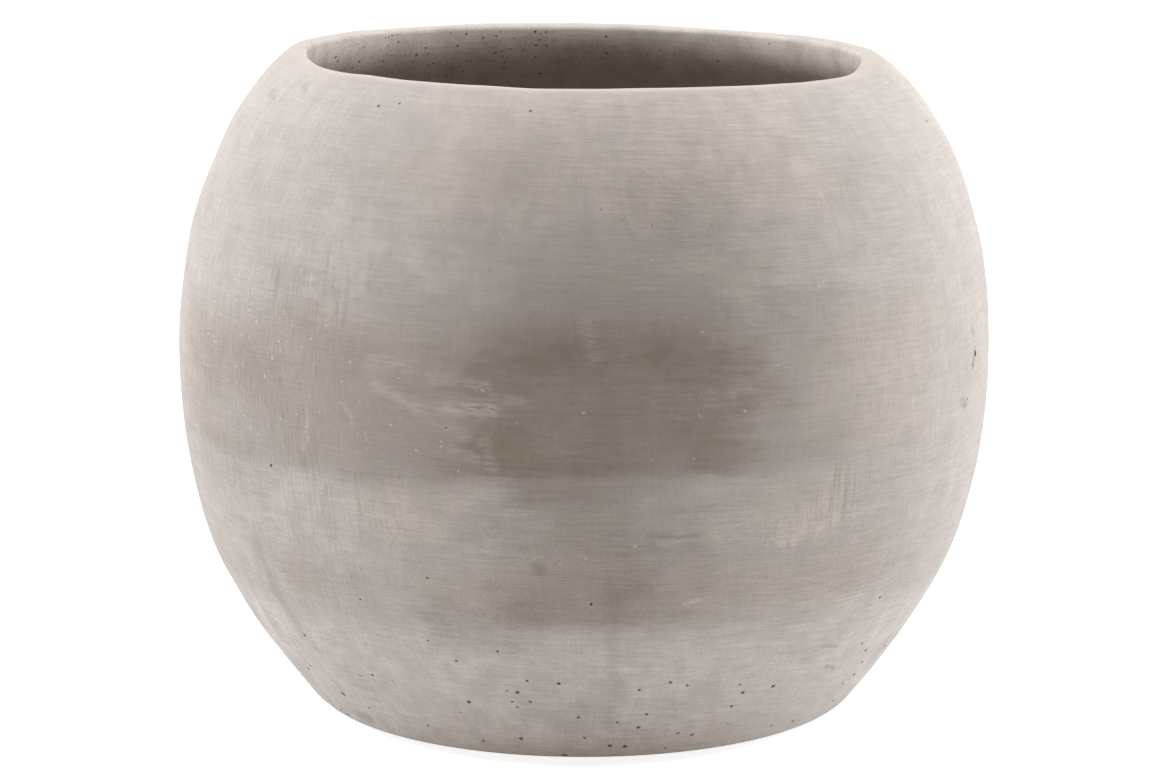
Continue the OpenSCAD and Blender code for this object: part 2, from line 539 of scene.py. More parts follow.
# %% [markdown]
# ## Air bubbles
#
# Concrete that is tamped by hand keeps small bubbles. They gather low on the wall, and on
# the inside under the rim, and show as dark holes one to three millimetres wide. They are
# real holes here: one rough ball is copied to every place, and a Boolean modifier cuts all
# the balls out at once. The bubbles that stand out are listed one by one, and the others
# lie at random, from a fixed seed.

# %% Bubbles that stand out
# angle from the front in degrees, height and width in millimetres
BUBBLES = (
    (-51, 29, 3.0), (-38, 50, 2.0), (-51, 66, 2.0), (-34, 99, 1.3), (-22, 117, 1.3),
    (-24, 79, 1.3), (-20, 68, 1.5), (-13, 76, 1.4), (-20, 41, 2.2), (-11, 50, 2.0),
    (-9, 44, 1.6), (-4, 57, 2.1), (-9, 58, 1.5), (-12, 18, 2.0), (-4, 7, 3.2),
    (-20, 14, 1.8), (-31, 20, 1.6), (-1, 34, 1.7), (1, 106, 1.4), (28, 44, 2.3),
    (34, 45, 2.3), (11, 35, 2.0), (27, 35, 1.6), (14, 56, 1.9), (17, 53, 1.7),
    (46, 14, 1.8), (50, 90, 1.8), (52, 60, 1.8), (5, 14, 2.2), (8, 13, 2.2),
    (18, 20, 1.7), (21, 18, 1.9), (10, 26, 1.7), (6, 30, 1.4), (9, 52, 1.5),
    (-47, 167, 1.8), (-18, 200, 1.4), (-37, 357, 1.3), (-33, 359, 1.1), (-9, 358, 1.1),
    (69, 214, 3.6), (66, 191, 1.6),
)

# %% Bubbles inside, under the rim
# angle, height and width, as before
INSIDE_BUBBLES = (
    (237, 354, 1.5), (238, 368, 1.1), (230, 363, 1.0), (228, 370, 1.3), (225, 367, 1.2),
    (226, 359, 1.1), (228, 356, 1.4), (219, 358, 1.9), (217, 362, 1.4), (216, 358, 1.2),
    (219, 354, 1.1), (210, 352, 1.1), (209, 362, 1.4), (211, 370, 1.2), (207, 369, 1.3),
    (200, 367, 1.3), (199, 364, 1.1), (191, 369, 1.7), (190, 364, 1.0), (178, 362, 1.0),
    (175, 366, 1.5), (173, 360, 1.3), (175, 356, 1.7), (176, 353, 1.2), (166, 355, 1.1),
    (163, 358, 1.3), (160, 356, 1.2), (150, 353, 1.8), (150, 365, 1.0), (140, 353, 1.0),
    (135, 366, 1.1), (262, 362, 0.9), (250, 358, 1.0), (104, 352, 1.2),
)

# %% Rough ball that cuts a bubble
deselect()
bpy.ops.mesh.primitive_ico_sphere_add(subdivisions=2, radius=1, location=(0, 0, 0))
ball = bpy.context.object
lump = bpy.data.textures.new("lumps", "CLOUDS")
lump.noise_scale = 0.9
apply_modifier(ball, "DISPLACE", texture=lump, texture_coords="LOCAL", strength=0.5, mid_level=0.5)
print("the ball has", len(ball.data.polygons), "faces")

# %% Sink a ball into the wall
rng = random.Random(7)
bubbles = []
BALL_EXCESS = 1.45          # a sunk ball is wider than the hole that it leaves
SINK = 0.72                 # how deep, as a share of its radius
SPACING = 1.5


def wall_inside(angle, height):
    """Where a level ray from the axis meets the inside of the wall, and the way back."""
    out = outwards(angle)
    return bowl.ray_cast(Vector((0, 0, height / MM)), out)[1], -out


def cut_bubble(place, out, width):
    """A copy of the ball, unless the ray missed the wall or another ball is too close."""
    radius = width / (2 * MM) * BALL_EXCESS
    missed = place.length == 0
    if missed or any((place - other.location).length < (radius + max(other.scale)) * SPACING
                     for other in bubbles):
        return
    piece = copy_of(ball)
    piece.location = place - out * radius * SINK
    piece.scale = (radius * rng.uniform(1, 1.35), radius * rng.uniform(0.8, 1), radius)
    piece.rotation_euler = (rng.uniform(0, 6.3), rng.uniform(-0.4, 0.4), rng.uniform(0, 6.3))
    bubbles.append(piece)


# %% Copy the ball to every place
FOOT_BUBBLES = 110          # all round the foot
FRONT_BUBBLES = 16          # in front there are fewer
BELLY_BUBBLES = 26          # and few on the belly
CLUSTERS = 36               # under the rim, most of them at the back left

for angle, height, width in BUBBLES:
    cut_bubble(*wall_at(angle, height), width)
for angle, height, width in INSIDE_BUBBLES:
    cut_bubble(*wall_inside(angle, height), width)
for i in range(FOOT_BUBBLES):
    place, out = wall_at(rng.uniform(55, 305), 9 + 70 * rng.random() ** 1.6)
    cut_bubble(place, out, rng.uniform(1.0, 2.4))
for i in range(FRONT_BUBBLES):
    place, out = wall_at(rng.uniform(-60, 60), 9 + 50 * rng.random() ** 1.6)
    cut_bubble(place, out, rng.uniform(0.9, 1.4))
for i in range(BELLY_BUBBLES):
    place, out = wall_at(rng.uniform(75, 285), rng.uniform(90, 350))
    cut_bubble(place, out, rng.uniform(1.0, 1.8))
for i in range(CLUSTERS):
    angle = rng.uniform(0, 360) if i % 3 == 0 else rng.uniform(188, 284)
    level = 368 - 34 * rng.random()
    for k in range(rng.randint(3, 9)):
        place, out = wall_inside(angle + rng.gauss(0, 3.5), min(level + rng.gauss(0, 5), 371))
        cut_bubble(place, out, 0.7 + 0.9 * rng.random() ** 2)
print("bubbles:", len(bubbles))

# %% Cut them all out
deselect()
for piece in bubbles:
    piece.select_set(True)
bpy.context.view_layer.objects.active = bubbles[0]
bpy.ops.object.join()
cutter = bpy.context.object
activate(cutter)
bpy.ops.object.transform_apply()
apply_modifier(bowl, "BOOLEAN", operation="DIFFERENCE", object=cutter, solver="EXACT")
bpy.data.objects.remove(cutter)
bpy.data.objects.remove(ball)
activate(bowl)
bpy.ops.object.shade_smooth_by_angle(angle=math.radians(35))
print("the bowl has", sum(len(face.vertices) - 2 for face in bowl.data.polygons), "triangles")

# %% [markdown]
# ## Concrete: places on the wall
#
# The finish of the bowl was laid on by hand, so it is easiest to describe as a sheet
# wrapped round the wall: an angle from the front and a height above the floor. A node
# group works both out from Object coordinates. It also gives the sheet itself, a position
# in millimetres with the bowl's radius taken out, on which strokes run evenly round.


# %% New group
def new_group(name, takes, gives):
    """A node group. A number is an input's default, and None stands for a vector."""
    tree = bpy.data.node_groups.new(name, "ShaderNodeTree")
    for socket, default in takes.items():
        kind = "NodeSocketVector" if default is None else "NodeSocketFloat"
        made = tree.interface.new_socket(socket, in_out="INPUT", socket_type=kind)
        if default is not None:
            made.default_value = default
    for socket, kind in gives.items():
        tree.interface.new_socket(socket, in_out="OUTPUT", socket_type="NodeSocket" + kind)
    return (Nodes(tree), tree.nodes.new("NodeGroupInput").outputs,
            tree.nodes.new("NodeGroupOutput").inputs)


# %% Group: place on the wall
SEAM = -90                  # the angle where the sheet is closed, at the left

nodes, given, gives = new_group("place on wall", {"Position": None},
                                {"Angle": "Float", "Height": "Float", "Sheet": "Vector"})
parts = nodes.tree.nodes.new("ShaderNodeSeparateXYZ")
nodes.feed(parts.inputs[0], given["Position"])
x, y, z = parts.outputs
turn = nodes.math("DEGREES", nodes.math("ARCTAN2", x, nodes.times(y, -1)))
nodes.feed(gives["Angle"], nodes.math("WRAP", turn, SEAM + 360, SEAM))
nodes.feed(gives["Height"], nodes.times(z, MM))
flat = nodes.add("CombineXYZ", {0: x, 1: y})
way = nodes.vector("NORMALIZE", flat)
round_mm = nodes.scaled(way, BELLY_R * MM)
up = nodes.add("CombineXYZ", {2: nodes.times(z, MM)})
nodes.feed(gives["Sheet"], nodes.vector("ADD", round_mm, up))
place_on_wall = nodes.tree

# %% [markdown]
# ## Concrete: strokes, washes and marks
#
# Three more groups make the finish. Strokes are noise that is stretched along the way of
# the brush. A wash is a soft box on the sheet, with its own fade at each side, because the
# brown slurry ends sharply where the brush stopped and thins out where it ran dry. A mark
# is a short straight smear or scratch, worked out from the distance to its middle line.

# %% Group: brush strokes
nodes, given, gives = new_group("brush strokes", {
    "Sheet": None, "Size": None, "Turn": None, "Shift": None, "Detail": 4.0}, {"Strokes": "Float"})
stretched = nodes.add("Mapping", {
    "Vector": given["Sheet"], "Location": given["Shift"], "Rotation": given["Turn"],
    "Scale": given["Size"]}, vector_type="TEXTURE")
nodes.feed(gives["Strokes"], nodes.add("TexNoise", {
    "Vector": stretched, "Scale": 1.0, "Detail": given["Detail"], "Roughness": 0.6}))
brush_strokes = nodes.tree

# %% Group: wash
nodes, given, gives = new_group("wash", {
    "Angle": 0.0, "Height": 0.0, "Left": -20.0, "Right": 20.0, "Low": 100.0, "High": 200.0,
    "Side fade": 8.0, "Low fade": 8.0, "High fade": 8.0}, {"Mask": "Float"})


def edge(value, limit, fade):
    """0 at the limit, 1 one fade further in. A negative fade makes it an upper limit."""
    return nodes.fade(value, limit, nodes.math("ADD", limit, fade))


back = nodes.times(given["Side fade"], -1)
down = nodes.times(given["High fade"], -1)
across = nodes.times(edge(given["Angle"], given["Left"], given["Side fade"]),
                     edge(given["Angle"], given["Right"], back))
upright = nodes.times(edge(given["Height"], given["Low"], given["Low fade"]),
                      edge(given["Height"], given["High"], down))
nodes.feed(gives["Mask"], nodes.times(across, upright))
wash = nodes.tree

# %% Group: mark
nodes, given, gives = new_group("mark", {
    "Unrolled": None, "From": None, "To": None, "Width": 3.0}, {"Mask": "Float"})
way = nodes.vector("SUBTRACT", given["To"], given["From"])
here = nodes.vector("SUBTRACT", given["Unrolled"], given["From"])
share = nodes.math("DIVIDE", nodes.vector("DOT_PRODUCT", here, way, out=1),
                   nodes.vector("DOT_PRODUCT", way, way, out=1))
nearest = nodes.scaled(way, nodes.add("Clamp", {"Value": share}))
off = nodes.vector("LENGTH", nodes.vector("SUBTRACT", here, nearest), out=1)
nodes.feed(gives["Mask"], nodes.fade(off, given["Width"], 0.0))
mark = nodes.tree

# %% [markdown]
# ## Concrete: the paint plan
#
# These tables say where the washes and marks lie, as a painter would plan them. The slurry
# is brown, and it crosses the front in a broad band above the middle and a weaker one below.
# The sides and the back carry the same kinds of patch, so that the bowl has no bare side.

# %% Washes
# left, right, low, high, side fade, low fade, high fade, strength
BROWN_WASHES = (
    (-24, 42, 171, 284, 18, 10, 46, 0.34),     # the band across the front
    (-22, 27, 172, 270, 10, 4, 40, 0.42),      # its darker heart
    (-12, 26, 240, 292, 9, 20, 20, 0.15),
    (-80, -8, 162, 262, 16, 12, 30, 0.40),     # it thins out to the left
    (-74, -46, 140, 182, 10, 16, 16, 0.22),
    (-26, -4, 166, 204, 10, 6, 12, 0.16),
    (-16, 8, 158, 190, 9, 6, 12, 0.15),
    (-27, -5, 70, 113, 6, 10, 12, 0.26),
    (-52, -36, 238, 282, 5, 12, 14, 0.22),
    (-70, -42, 198, 236, 8, 12, 12, 0.12),
    (-18, 26, 226, 262, 9, 14, 20, 0.14),
    (-2, 30, 100, 146, 8, 12, 12, 0.13),
    (-17, 18, 86, 178, 12, 12, 8, 0.40),       # the belt that joins it to the lower band
    (-32, 34, 86, 132, 20, 10, 26, 0.24),      # the lower band
    (20, 60, 95, 150, 16, 10, 30, 0.17),
    (-50, -34, 92, 124, 5, 10, 14, 0.16),
    (20, 56, 138, 200, 12, 10, 24, 0.08),
    (-20, 12, 20, 94, 10, 14, 20, 0.15),
    (2, 24, 284, 336, 7, 14, 14, 0.15),        # rubbed patches on the shoulder
    (-24, -3, 316, 346, 7, 8, 10, 0.12),
    (38, 50, 310, 336, 4, 8, 8, 0.16),
    (-66, -56, 290, 352, 4, 20, 20, 0.08),
    (74, 150, 171, 282, 22, 5, 40, 0.44),      # the sides and the back
    (98, 140, 176, 262, 12, 8, 30, 0.24),
    (140, 236, 182, 262, 24, 8, 34, 0.46),
    (168, 214, 186, 250, 14, 8, 24, 0.20),
    (226, 272, 158, 250, 12, 14, 26, 0.36),
    (104, 130, 90, 176, 12, 10, 10, 0.24),
    (96, 190, 86, 136, 24, 10, 26, 0.26),
    (200, 262, 90, 142, 16, 12, 24, 0.24),
    (110, 160, 290, 340, 14, 14, 14, 0.16),
    (206, 250, 296, 346, 14, 14, 16, 0.15),
)
PALE_WASHES = (
    (-86, 86, -20, 94, 6, 1, 24, 0.72),        # paler towards the foot
    (-86, 86, -20, 34, 6, 1, 20, 0.30),
    (-60, 60, -20, 12, 12, 1, 9, 0.40),
    (-80, -50, 100, 146, 8, 14, 14, 0.14),
    (-46, -24, 108, 142, 8, 10, 10, 0.26),
    (36, 54, 76, 104, 6, 10, 10, 0.26),
    (16, 54, 262, 306, 10, 12, 14, 0.26),
    (-42, -6, 262, 298, 10, 12, 12, 0.28),
    (18, 62, -4, 62, 12, 6, 16, 0.50),
    (-50, -12, 126, 168, 7, 16, 10, 0.40),     # bare under the band
    (14, 42, 136, 160, 8, 10, 8, 0.40),
    (-52, -12, 272, 330, 12, 20, 18, 0.40),
    (94, 270, -20, 92, 10, 1, 24, 0.75),
    (110, 240, 136, 178, 20, 16, 6, 0.60),
    (150, 250, 276, 350, 30, 24, 24, 0.45),
)
BEIGE_WASHES = (
    (-34, 48, 290, 390, 14, 26, 1, 0.70),      # the shoulder in front is warmer
    (-30, 34, -20, 26, 14, 1, 22, 0.60),       # and so is the foot
    (70, 140, 286, 390, 20, 24, 1, 0.60),
    (190, 260, 286, 390, 20, 24, 1, 0.60),
)

# %% Warm tint
# the same eight numbers
WARM_WASHES = (
    (-50, 34, 176, 268, 20, 8, 20, 1.05),      # the front, above the lower edge of the band
    (-8, 34, 262, 304, 12, 14, 14, 0.90),
    (-44, 34, 304, 345, 14, 12, 10, 0.30),
    (26, 60, 176, 270, 12, 8, 24, 0.90),
    (-36, -10, 130, 176, 10, 10, 8, 0.95),
    (8, 46, 128, 176, 10, 10, 8, 0.72),
    (-54, -34, 92, 124, 10, 8, 8, 0.70),
    (-34, 54, 92, 132, 14, 8, 10, 0.80),
    (-16, 12, 120, 180, 8, 10, 8, 0.50),
    (-38, 40, -20, 34, 16, 1, 24, 1.20),
    (70, 150, 172, 300, 22, 8, 30, 0.90),
    (140, 262, 172, 300, 24, 8, 30, 0.90),
)
WARM = (1.030, 1.000, 0.952, 1)     # what the colour is multiplied with

# %% Patches of scratches
# the same eight numbers
COMBS = (
    (-52, -27, 240, 292, 5, 10, 14, 0.55), (-46, -24, 132, 184, 5, 10, 14, 0.40),
    (29, 42, 137, 178, 3, 8, 8, 0.85), (-68, -46, 180, 262, 8, 20, 20, 0.30),
    (46, 76, 150, 330, 12, 40, 40, 0.28), (128, 148, 140, 182, 5, 10, 10, 0.55),
    (196, 222, 238, 286, 6, 12, 12, 0.50),
)
HATCHES = (
    (3, 28, 282, 338, 6, 12, 12, 0.60), (-26, -8, 78, 108, 5, 8, 8, 0.70),
    (14, 38, 240, 282, 6, 10, 10, 0.55), (24, 58, 84, 122, 8, 10, 12, 0.60),
    (-50, -20, 296, 344, 8, 12, 12, 0.35), (36, 80, 150, 330, 14, 30, 30, 0.45),
    (86, 130, 250, 330, 10, 20, 20, 0.45), (160, 210, 84, 128, 10, 12, 12, 0.50),
)
FLECKS = (
    (-68, -24, 174, 268, 8, 14, 18, 1.00), (-30, -6, 178, 212, 6, 8, 8, 0.60),
    (-14, 6, 124, 140, 4, 6, 6, 0.80), (-12, 26, 272, 300, 6, 8, 8, 0.40),
    (180, 240, 176, 250, 14, 14, 18, 0.80),
)

# %% Marks
# angle and height of both ends in degrees and millimetres, width in millimetres, strength
PALE_MARKS = (
    (-28, 219, -21, 209, 5, 0.55), (-22, 210, -17, 207, 6, 0.45), (-18, 210, -12, 211, 9, 0.75),
    (-21, 226, -12, 224, 5, 0.40), (-29, 231, -23, 231, 8, 0.35), (-19, 202, -16, 194, 7, 0.30),
    (-13, 194, -12, 180, 6, 0.30), (-18, 190, -14, 184, 5, 0.30), (0, 256, 1, 240, 10, 0.30),
    (-39, 206, -40, 180, 1.8, 0.5), (-34, 208, -31, 198, 1.6, 0.5), (14, 104, 16, 106, 2.4, 0.7),
    (-18, 104, -13, 102, 5, 0.35), (1, 342, 5, 326, 2.6, 0.40), (5, 326, 7, 304, 3.6, 0.40),
    (10, 139, 26, 142, 3.2, 0.45), (-46, 150, -40, 155, 9, 0.30), (-12, 218, -8, 214, 5, 0.30),
    (118, 222, 124, 214, 6, 0.5), (170, 210, 180, 213, 9, 0.6), (212, 196, 216, 188, 5, 0.4),
)
DARK_MARKS = (
    (-55, 119, -52, 68, 10, 0.22), (-6.7, 126, -6.3, 125, 6.5, 0.40),
    (-6, 225, 18, 225, 1.6, 0.16), (68.5, 216, 68.8, 209, 4, 0.7), (64.4, 191, 64.7, 188, 5, 0.4),
    (67.4, 229, 67.6, 226, 4, 0.25), (-51, 15, -48, 14, 6, 0.35), (-70, 357, -67, 353, 4, 0.25),
    (-60, 363, -57, 360, 3, 0.2), (9, 144, 14, 142, 2.4, 0.25), (4, 118, 5, 30, 9, 0.14),
    (132, 120, 134, 84, 7, 0.22), (224, 130, 226, 122, 7, 0.4), (41, 66, 45, 64, 1.8, 0.30),
    (45, 51, 47, 47, 2.2, 0.35), (-37.2, 160, -37.6, 144, 2.6, 0.14),
    (-31, 155, -31.4, 140, 2.2, 0.13), (-25.6, 154, -25.6, 142, 2.2, 0.11),
    (-35.4, 271, -34.7, 254, 2.2, 0.16), (-46.8, 271, -46, 258, 3, 0.14),
)

# %% Colours of the concrete
PINK_GREY = (0.560, 0.516, 0.484, 1)
BEIGE = (0.640, 0.568, 0.506, 1)
BARE = (0.690, 0.632, 0.594, 1)
BROWN = (0.318, 0.263, 0.218, 1)
# dark stains, and the painted shade in pinholes
STAIN_AND_PORE_SHADE = (0.200, 0.170, 0.140, 1)
CHALK = (0.700, 0.640, 0.560, 1)
RIM = (0.575, 0.520, 0.470, 1)
# inside colours: paler under the rim as painted light, darker lower down as painted shade
INSIDE_HIGH_LIT = (0.770, 0.700, 0.640, 1)
INSIDE_LOW_SHADED = (0.500, 0.446, 0.398, 1)

# %% [markdown]
# ## Concrete: the material
#
# First the place is shaken by broad and by narrow strokes, so that every wash ends in
# brush fingers and not in a straight edge. Then the layers follow in the maker's order: grey
# body, pale places, brown slurry, a warm tint, brush strokes and marks; last come pores,
# painted dark as their shade. The inside has painted light under the rim and painted shade deeper
# down.

# %% Concrete: where we are
concrete, nodes, surface = new_material("brushed concrete")
coordinates = nodes.coordinates()
angle, height, sheet = nodes.group(place_on_wall, {"Position": coordinates["Object"]})


def strokes(long, wide, lean=(0, 0, 0), detail=4.0, shift=0.0):
    """Brush strokes of a length and width in millimetres. Each kind has a shift of its own."""
    return nodes.group(brush_strokes, {"Sheet": sheet, "Size": (long, long, wide), "Turn": lean,
                                       "Shift": (0, 0, shift), "Detail": detail})[0]


def shaken(value, by, amount):
    """A value moved up and down by strokes around their middle."""
    return nodes.times_plus(nodes.math("SUBTRACT", by, 0.5), amount, value)


fingers = strokes(48, 6, (0, 0.04, 0), 5, shift=31)
lumps = strokes(30, 20, (0, 0.1, 0), 5, shift=77)
clouds = nodes.noise(sheet, 18, 6, 0.64)
ragged_angle = shaken(shaken(angle, fingers, 17), lumps, 20)        # degrees
ragged_height = shaken(shaken(height, lumps, 30), clouds, 24)       # millimetres
level_height = shaken(shaken(height, lumps, 12), fingers, 10)       # for level edges


# %% Concrete: sum of washes
def washes(table, height):
    """How much of a slurry lies here. Washes that overlap add up."""
    total = 0.0
    for left, right, low, high, side, low_fade, high_fade, strength in table:
        part = nodes.group(wash, {
            "Angle": ragged_angle, "Height": height, "Left": left, "Right": right, "Low": low,
            "High": high, "Side fade": side, "Low fade": low_fade, "High fade": high_fade})[0]
        total = nodes.times_plus(part, strength, total)
    return total


# %% Concrete: body and slurry
cloudy = nodes.fade(clouds, 0.39, 0.61)
thin = nodes.times_plus(cloudy, 0.5, 0.75)
beige = nodes.clamp(nodes.times(washes(BEIGE_WASHES, ragged_height), thin))
bare = nodes.clamp(nodes.times(washes(PALE_WASHES, ragged_height), thin))
body = nodes.mix(bare, nodes.mix(beige, PINK_GREY, BEIGE), BARE)
brown = washes(BROWN_WASHES, level_height)
streaks = strokes(50, 2.4, (0, 0.03, 0), 5, shift=200)
blotches = nodes.fade(nodes.noise(sheet, 34, 5, 0.6), 0.36, 0.64)
cover = nodes.times_plus(blotches, 0.22, nodes.times_plus(cloudy, 0.18, 0.80))
cover = shaken(cover, streaks, 0.5)
slurry = nodes.clamp(nodes.times(brown, cover))
colour = nodes.mix(slurry, body, BROWN)
warm = nodes.times(washes(WARM_WASHES, ragged_height), thin)
colour = nodes.mix(warm, colour, nodes.mix(1.0, colour, WARM, "MULTIPLY"))
print("washes:", len(BROWN_WASHES) + len(PALE_WASHES) + len(BEIGE_WASHES) + len(WARM_WASHES))

# %% Concrete: brush strokes, and where they show
side = nodes.fade(nodes.math("ABSOLUTE", shaken(angle, lumps, 40)), 24, 44)
weft = strokes(20, 0.9, (0, 0.02, 0), 3, shift=400)             # round the bowl
warp = strokes(0.9, 14, (0, 0, 0), 3, shift=500)                # up and down
crossing = strokes(12, 1.1, (0.6, 0.6, 0), 3, shift=600)        # aslant
rows = strokes(2.3, 60, (0, 0, 0), 3, shift=700)                # as a comb leaves them
hatch_here = washes(HATCHES, ragged_height)
comb_here = washes(COMBS, ragged_height)
low_down = nodes.fade(height, 185, 150)
at_left = nodes.fade(angle, -28, -44)
patchy = nodes.fade(nodes.noise(sheet, 42, 4, 0.6), 0.38, 0.62)
calm = nodes.times(nodes.fade(height, 255, 300), nodes.fade(angle, 5, -25))

# %% Concrete: how dark the strokes are
level_share = nodes.times_plus(low_down, 0.13, nodes.times_plus(patchy, 0.18, 0.22))
upright_share = nodes.times_plus(side, 0.18, nodes.times_plus(patchy, -0.16, 0.22))
upright = nodes.times(nodes.math("SUBTRACT", warp, 0.5), nodes.times_plus(calm, -0.5, 1.0))
shade = shaken(0.985, weft, nodes.times_plus(calm, -0.12, level_share))
shade = nodes.times_plus(upright, upright_share, shade)
shade = shaken(shade, warp, nodes.times(at_left, 0.22))
shade = shaken(shade, streaks, 0.20)
shade = shaken(shade, clouds, 0.30)
sand = nodes.noise(coordinates["Object"], 0.0012, 2, 0.7)
sandy = nodes.math("MAXIMUM", low_down, at_left)
shade = shaken(shade, sand, nodes.times_plus(sandy, 0.28, 0.14))
shade = shaken(shade, crossing, nodes.times(hatch_here, 0.45))
combed = nodes.math("SUBTRACT", 0.25, nodes.fade(rows, 0.50, 0.64))
shade = nodes.times_plus(combed, nodes.times(comb_here, 0.20), shade)
grey = nodes.add("CombineColor", {0: shade, 1: shade, 2: shade})
colour = nodes.mix(1.0, colour, grey, "MULTIPLY")

# %% Concrete: marks
MM_PER_DEGREE = math.radians(BELLY_R * MM)      # round the belly
unrolled = nodes.add("CombineXYZ", {
    0: nodes.times(shaken(angle, lumps, 6.0), MM_PER_DEGREE),
    1: shaken(shaken(height, clouds, 3.0), lumps, 5.0)})


def marks(table):
    """The strongest mark here."""
    total = 0.0
    for from_angle, from_height, to_angle, to_height, width, strength in table:
        part = nodes.group(mark, {
            "Unrolled": unrolled, "From": (MM_PER_DEGREE * from_angle, from_height, 0),
            "To": (MM_PER_DEGREE * to_angle, to_height, 0), "Width": width})[0]
        total = nodes.math("MAXIMUM", nodes.times(part, strength), total)
    return total


rubbed = nodes.fade(strokes(9, 1.6, (0, 0.05, 0), 5, shift=820), 0.32, 0.60)
colour = nodes.mix(nodes.times(marks(PALE_MARKS), rubbed), colour, CHALK)
colour = nodes.mix(marks(DARK_MARKS), colour, STAIN_AND_PORE_SHADE)
print("marks:", len(PALE_MARKS) + len(DARK_MARKS))

# %% Concrete: pores painted dark as their shade, flecks and thin scratches
CELLS_PER_METRE = 230
WOBBLE_REACH = 0.004        # takes the roundness from pores and flecks
wobble = nodes.add("TexNoise", {
    "Vector": coordinates["Object"], "Scale": 800.0, "Detail": 2.0}, 1)
off = nodes.scaled(nodes.vector("SUBTRACT", wobble, (0.5, 0.5, 0.5)), WOBBLE_REACH)
cells = nodes.tree.nodes.new("ShaderNodeTexVoronoi")
nodes.feed(cells.inputs["Vector"], nodes.vector("ADD", coordinates["Object"], off))
cells.inputs["Scale"].default_value = CELLS_PER_METRE
lot = nodes.add("SeparateColor", {0: cells.outputs["Color"]})       # 0 to 1, for each cell
# painted shade: pinholes too small to model are dark dots, for the shade inside them
pore_shade = nodes.times(nodes.fade(cells.outputs["Distance"], 0.16, 0.06),
                   nodes.math("GREATER_THAN", lot, 0.95))
fleck_share = nodes.times_plus(washes(FLECKS, ragged_height), 0.20, 0.02)
fleck = nodes.times(nodes.fade(cells.outputs["Distance"], 0.24, 0.14),
                    nodes.math("LESS_THAN", lot, fleck_share))
veins = nodes.math("SUBTRACT", strokes(20, 7, (0.2, 0.3, 0), 2, shift=900), 0.5)
scratch = nodes.times(nodes.fade(nodes.math("ABSOLUTE", veins), 0.010, 0.0),
                      nodes.fade(lumps, 0.50, 0.62))
colour = nodes.mix(nodes.times(pore_shade, 0.6), colour, STAIN_AND_PORE_SHADE)
colour = nodes.mix(nodes.times(fleck, 0.75), colour, CHALK)
colour = nodes.mix(nodes.times(scratch, 0.30), colour, CHALK)

# %% Concrete: the rim and the inside
RIM_FROM = 340              # millimetres, as all heights here
INSIDE_FLOOR = FLOOR_Z * MM + 5
SHADE_FROM, SHADE_TO = RIM_Z * MM - 9, RIM_Z * MM - 34
radial = nodes.vector("NORMALIZE", nodes.vector("MULTIPLY", sheet, (1, 1, 0)))
facing = nodes.vector("DOT_PRODUCT", coordinates["Normal"], radial, out=1)
upward = nodes.vector("DOT_PRODUCT", coordinates["Normal"], (0, 0, 1), out=1)
level = nodes.times(nodes.fade(nodes.math("ABSOLUTE", upward), 0.82, 0.97),
                    nodes.math("LESS_THAN", height, INSIDE_FLOOR))
inside = nodes.math("MAXIMUM", nodes.fade(facing, 0.25, -0.5), level)
# painted shade: the inside darkens with depth below the rim, on top of the shade that falls in it,
# and the floor inside and the underside take the darkest colour; under the rim it is painted light
depth = nodes.fade(shaken(height, lumps, 14), SHADE_FROM, SHADE_TO)
inside_tone_and_shade = nodes.mix(depth, INSIDE_HIGH_LIT, INSIDE_LOW_SHADED)
dull = nodes.fade(nodes.noise(coordinates["Object"], 0.020, 6, 0.62), 0.40, 0.64)
inside_tone_and_shade = nodes.mix(nodes.times(dull, 0.24), inside_tone_and_shade, STAIN_AND_PORE_SHADE)
inside_tone_and_shade = nodes.mix(nodes.times(nodes.fade(sand, 0.56, 0.66), 0.25), inside_tone_and_shade, STAIN_AND_PORE_SHADE)
on_rim = nodes.times(nodes.fade(upward, 0.72, 0.97), nodes.math("GREATER_THAN", height, RIM_FROM))
colour = nodes.mix(inside, colour, inside_tone_and_shade)
colour = nodes.mix(nodes.times(on_rim, 0.8), colour, RIM)
nodes.feed(surface["Base Color"], colour)

# %% Concrete: relief and roughness
RELIEF_HEIGHT = 0.0004
grain = nodes.noise(coordinates["Object"], 0.0007, 3, 0.7)
relief = nodes.math("ADD", nodes.times(grain, 0.22), nodes.times(weft, 0.35))
relief = nodes.times_plus(warp, 0.22, relief)
relief = nodes.times_plus(streaks, 0.6, relief)
relief = nodes.times(relief, nodes.math("SUBTRACT", 1, level))
nodes.feed(surface["Normal"], nodes.add("Bump", {
    "Height": relief, "Strength": 1.0, "Distance": RELIEF_HEIGHT}))
nodes.feed(surface["Roughness"], nodes.times_plus(slurry, -0.10, 0.92))
surface["Specular IOR Level"].default_value = 0.3
bowl.data.materials.append(concrete)
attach(bowl, "planter")
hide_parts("bowl")

# %% [markdown]
# ## Drain plug
#
# The plug is one moulded piece of rubber: a hollow shank with three sealing ribs, a flange
# that lies on the floor inside, and a neck with a grip for two fingers. Its outline is open
# at the axis. Every edge of a rubber moulding is rounded, and the grip is dished on top.

# %% Driving sizes of the plug
plug_low, plug_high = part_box("drain_plug")
PLUG_Z = plug_low.z
FLANGE_R = plug_high.x
SHANK_R = 0.0112
RIB_R = 0.0119
RIB_LEVELS = (0.0045, 0.0090, 0.0135)
PLUG_HOLLOW_R = 0.0072
NECK_R = 0.006
GRIP_R = 0.009
GRIP_Z = plug_high.z - 0.006
SHARP_EDGE = 0.0005         # edges of the moulding, as radii
SEAL_EDGE = 0.0006
PLAIN_EDGE = 0.0008
SOFT_EDGE = 0.001
FLANGE_EDGE = 0.002
GRIP_EDGE = 0.003
DISH = 0.0012


